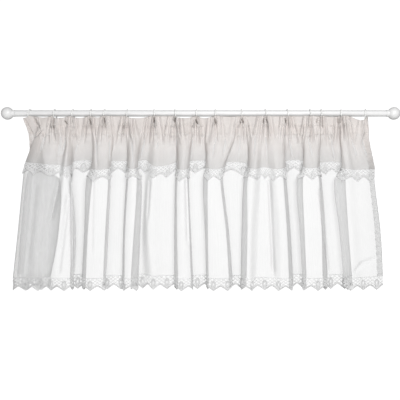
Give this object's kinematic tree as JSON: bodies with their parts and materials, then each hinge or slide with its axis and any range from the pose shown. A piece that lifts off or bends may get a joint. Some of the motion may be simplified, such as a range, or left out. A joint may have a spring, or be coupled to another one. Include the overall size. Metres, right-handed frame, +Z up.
{
  "type": "sheer cafe curtain with valance on a curtain rod",
  "caption": "Short sheer curtain with a pencil pleat heading, a valance and scalloped lace edgings, hung by rings from a round rod with ball finials.",
  "frame": {"origin": "middle of the rod, on its axis, halfway between the brackets that would hold it", "axes": "+X along the rod to the viewer's right, -Y toward the viewer, +Z up"},
  "size_m": [1.596, 0.099, 0.7258],
  "materials": {
    "valance_voile": "warm white voile, close woven, matt",
    "panel_voile": "white sheer voile, matt, seen through",
    "lace": "white lace, diamond net with corded medallions",
    "paint": "white satin paint",
    "plastic": "white, slightly glossy"
  },
  "bodies": {
    "root": {"valance": "valance_voile", "panel": "panel_voile", "valance_lace": "lace", "panel_lace": "lace", "rod": "paint", "finial_left": "paint", "finial_right": "paint", "ring_01": "plastic", "ring_02": "plastic", "ring_03": "plastic", "ring_04": "plastic", "ring_05": "plastic", "ring_06": "plastic", "ring_07": "plastic", "ring_08": "plastic", "ring_09": "plastic", "ring_10": "plastic", "ring_11": "plastic", "ring_12": "plastic", "ring_13": "plastic", "ring_14": "plastic", "ring_15": "plastic", "ring_16": "plastic", "ring_17": "plastic", "hook_01": "plastic", "hook_02": "plastic", "hook_03": "plastic", "hook_04": "plastic", "hook_05": "plastic", "hook_06": "plastic", "hook_07": "plastic", "hook_08": "plastic", "hook_09": "plastic", "hook_10": "plastic", "hook_11": "plastic", "hook_12": "plastic", "hook_13": "plastic", "hook_14": "plastic", "hook_15": "plastic", "hook_16": "plastic", "hook_17": "plastic"}
  },
  "joints": []
}
